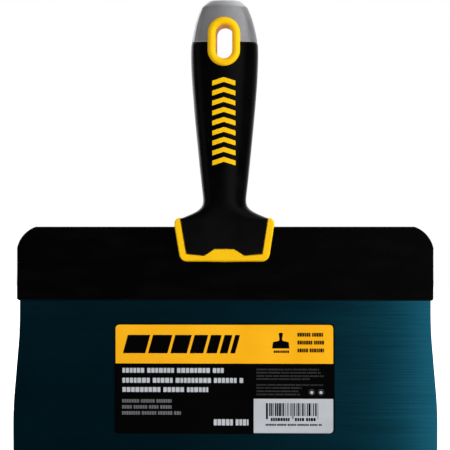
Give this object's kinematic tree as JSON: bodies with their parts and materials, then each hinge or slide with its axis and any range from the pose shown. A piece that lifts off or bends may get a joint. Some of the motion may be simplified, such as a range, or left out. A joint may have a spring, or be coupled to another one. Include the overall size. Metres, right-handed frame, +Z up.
{
  "type": "drywall taping knife",
  "caption": "Wide taping knife: flared spring-steel blade clamped in a folded painted back, soft grip over a hard core with a rimmed bolster, metal striking cap and a beaded hang hole.",
  "frame": {"origin": "centre of the hang hole, in the handle's middle plane", "axes": "+Z up the handle towards the striking cap, X along the blade's edge, -Y out of the labelled front"},
  "size_m": [0.254, 0.0322, 0.2747],
  "materials": {
    "blued_steel": "fine horizontal brushing, blued",
    "back_paint": "satin black paint",
    "label_film": "printed gloss film",
    "tang_steel": "mill finish",
    "rivet_steel": "zinc plated",
    "yellow_plastic": "moulded, semi-gloss",
    "soft_grip": "fine matt texture",
    "cap_metal": "satin cast metal"
  },
  "bodies": {
    "root": {"blade": "blued_steel", "blade_back": "back_paint", "blade_label": "label_film", "tang_front_strap": "tang_steel", "tang_rear_strap": "tang_steel", "tang_rivets": "rivet_steel", "handle_core": "yellow_plastic", "grip_sleeve": "soft_grip", "grip_inlay": "yellow_plastic", "end_cap": "cap_metal", "hang_ring_front": "yellow_plastic", "hang_ring_rear": "yellow_plastic"}
  },
  "joints": []
}
